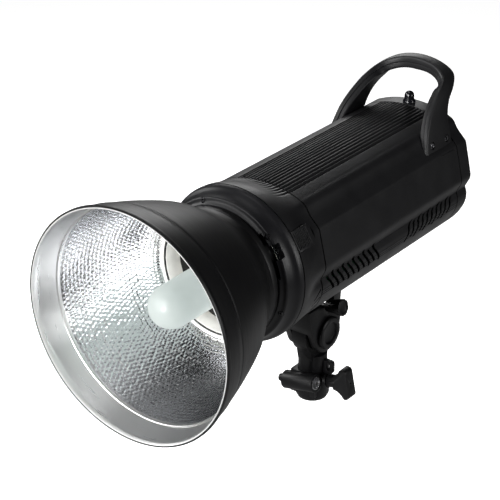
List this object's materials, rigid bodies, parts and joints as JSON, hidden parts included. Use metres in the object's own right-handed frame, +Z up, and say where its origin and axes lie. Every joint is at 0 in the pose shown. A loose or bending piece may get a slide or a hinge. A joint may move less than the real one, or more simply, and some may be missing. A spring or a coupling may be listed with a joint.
{
  "type": "monolight strobe",
  "caption": "Monolight studio strobe with bayonet reflector, modelling lamp, carrying handle, rear controls and a tilting stand bracket with clamp knob",
  "frame": {"origin": "centre of the stand socket's mouth, on the lowest face of the stand adapter", "axes": "+Z up along the stand socket, -Y the way the light is thrown, +X towards the tilt lock and clamp knobs, so the reflector's axis lies along Y"},
  "size_m": [0.21, 0.447, 0.2965],
  "materials": {
    "body_plastic": "fine matte charcoal",
    "grip_plastic": "matte dark charcoal",
    "mount_plastic": "satin dark charcoal",
    "panel_plastic": "matte black",
    "knob_plastic": "soft black",
    "gloss_black": "glossy black",
    "bracket_casting": "semi-matt black paint on a casting",
    "reflector_aluminium": "satin black outside, hammered silver inside",
    "bright_steel": "bright plated",
    "dark_steel": "blackened",
    "friction_fibre": "fibre friction disc",
    "ceramic_white": "unglazed cream",
    "frosted_glass": "frosted, pale green-white",
    "clear_glass": "clear",
    "capacitor_can": "blue sleeve",
    "board_laminate": "green solder mask"
  },
  "bodies": {
    "stand": {"stand_adapter": "bracket_casting", "accessory_lug": "bracket_casting", "cross_tube_boss": "bracket_casting", "cross_tube_liner": "bright_steel", "friction_washer_near": "friction_fibre", "friction_washer_far": "friction_fibre"},
    "cross_screw": {"cross_tube_screw": "bracket_casting"},
    "stand_clamp": {"stand_clamp_knob": "knob_plastic"},
    "clamp_pad": {"stand_clamp_pad": "bright_steel"},
    "head": {"mount_ring": "mount_plastic", "mount_screw_1": "dark_steel", "mount_screw_2": "dark_steel", "mount_screw_3": "dark_steel", "mount_screw_4": "dark_steel", "mount_screw_5": "dark_steel", "front_housing": "body_plastic", "front_bulkhead": "bright_steel", "flash_tube_base": "ceramic_white", "flash_tube": "clear_glass", "lamp_socket": "ceramic_white", "top_shell": "body_plastic", "bottom_shell": "body_plastic", "rear_cover": "body_plastic", "control_panel": "panel_plastic", "display_window": "gloss_black", "power_inlet": "panel_plastic", "sync_jack": "bright_steel", "slave_sensor": "gloss_black", "handle_cover": "body_plastic", "handle_grip": "grip_plastic", "handle_screw_near_1": "dark_steel", "handle_screw_near_2": "dark_steel", "handle_screw_far_1": "dark_steel", "handle_screw_far_2": "dark_steel", "chassis": "bright_steel", "capacitor_near": "capacitor_can", "capacitor_far": "capacitor_can", "circuit_board": "board_laminate", "fan_frame": "panel_plastic", "tilt_bracket": "bracket_casting", "bracket_screw_1": "dark_steel", "bracket_screw_2": "dark_steel", "pivot_bolt": "dark_steel", "pivot_cap": "bracket_casting"},
    "reflector": {"reflector_bowl": "reflector_aluminium", "reflector_collar": "bright_steel"},
    "release": {"release_slider": "body_plastic", "locking_pin": "bright_steel"},
    "lamp": {"modelling_lamp": "frosted_glass", "lamp_cap": "bright_steel"},
    "dial": {"control_dial": "knob_plastic"},
    "test_key": {"test_button": "panel_plastic"},
    "modelling_key": {"modelling_button": "panel_plastic"},
    "slave_key": {"slave_button": "panel_plastic"},
    "rocker": {"power_rocker": "gloss_black"},
    "fuse": {"fuse_cap": "knob_plastic"},
    "fan": {"fan_rotor": "panel_plastic"},
    "tilt_lock": {"tilt_lock_knob": "knob_plastic"}
  },
  "joints": [
    {"name": "head_tilt", "type": "hinge", "parent": "stand", "child": "head", "pos_m": [0, 0, 0.0735], "axis": [1, 0, 0], "range_deg": [-35, 60]},
    {"name": "cross_screw_turn", "type": "hinge", "parent": "stand", "child": "cross_screw", "pos_m": [0, -0.016, 0.021], "axis": [0.9781, 0, 0.2079], "range_deg": [0, 360]},
    {"name": "stand_clamp_turn", "type": "hinge", "parent": "stand", "child": "stand_clamp", "pos_m": [0, 0, 0.0175], "axis": [0.9781, 0, 0.2079], "range_deg": [0, 720]},
    {"name": "stand_clamp_press", "type": "slide", "parent": "stand", "child": "clamp_pad", "axis": [-0.9781, 0, -0.2079], "range_m": [0, 0.0025]},
    {"name": "reflector_twist", "type": "hinge", "parent": "head", "child": "reflector", "pos_m": [0, 0, 0.19], "axis": [0, 1, 0], "range_deg": [-58, 0]},
    {"name": "release_slide", "type": "slide", "parent": "head", "child": "release", "axis": [0, 1, 0], "range_m": [0, 0.006], "stiffness_N_per_m": 600, "springref_m": -0.004},
    {"name": "lamp_draw", "type": "slide", "parent": "head", "child": "lamp", "axis": [0, -1, 0], "range_m": [0, 0.2]},
    {"name": "dial_turn", "type": "hinge", "parent": "head", "child": "dial", "pos_m": [0.026, 0, 0.218], "axis": [0, 1, 0], "continuous": true},
    {"name": "test_press", "type": "slide", "parent": "head", "child": "test_key", "axis": [0, -1, 0], "range_m": [0, 0.0012], "stiffness_N_per_m": 400, "springref_m": -0.001},
    {"name": "modelling_press", "type": "slide", "parent": "head", "child": "modelling_key", "axis": [0, -1, 0], "range_m": [0, 0.0012], "stiffness_N_per_m": 400, "springref_m": -0.001},
    {"name": "slave_press", "type": "slide", "parent": "head", "child": "slave_key", "axis": [0, -1, 0], "range_m": [0, 0.0012], "stiffness_N_per_m": 400, "springref_m": -0.001},
    {"name": "power_rock", "type": "hinge", "parent": "head", "child": "rocker", "pos_m": [0.028, 0.165, 0.17], "axis": [1, 0, 0], "range_deg": [0, 12]},
    {"name": "fuse_turn", "type": "hinge", "parent": "head", "child": "fuse", "pos_m": [0.028, 0.169, 0.149], "axis": [0, 1, 0], "range_deg": [0, 90]},
    {"name": "fan_spin", "type": "hinge", "parent": "head", "child": "fan", "pos_m": [0, 0.113, 0.208], "axis": [0, 1, 0], "continuous": true},
    {"name": "tilt_lock_turn", "type": "hinge", "parent": "head", "child": "tilt_lock", "pos_m": [0.0165, -0.003, 0.1034], "axis": [0.9781, 0, 0.2079], "range_deg": [0, 270]}
  ],
  "couplings": [
    {"joint": "stand_clamp_press", "follows": "stand_clamp_turn", "m_per_rad": 0.00019894}
  ]
}
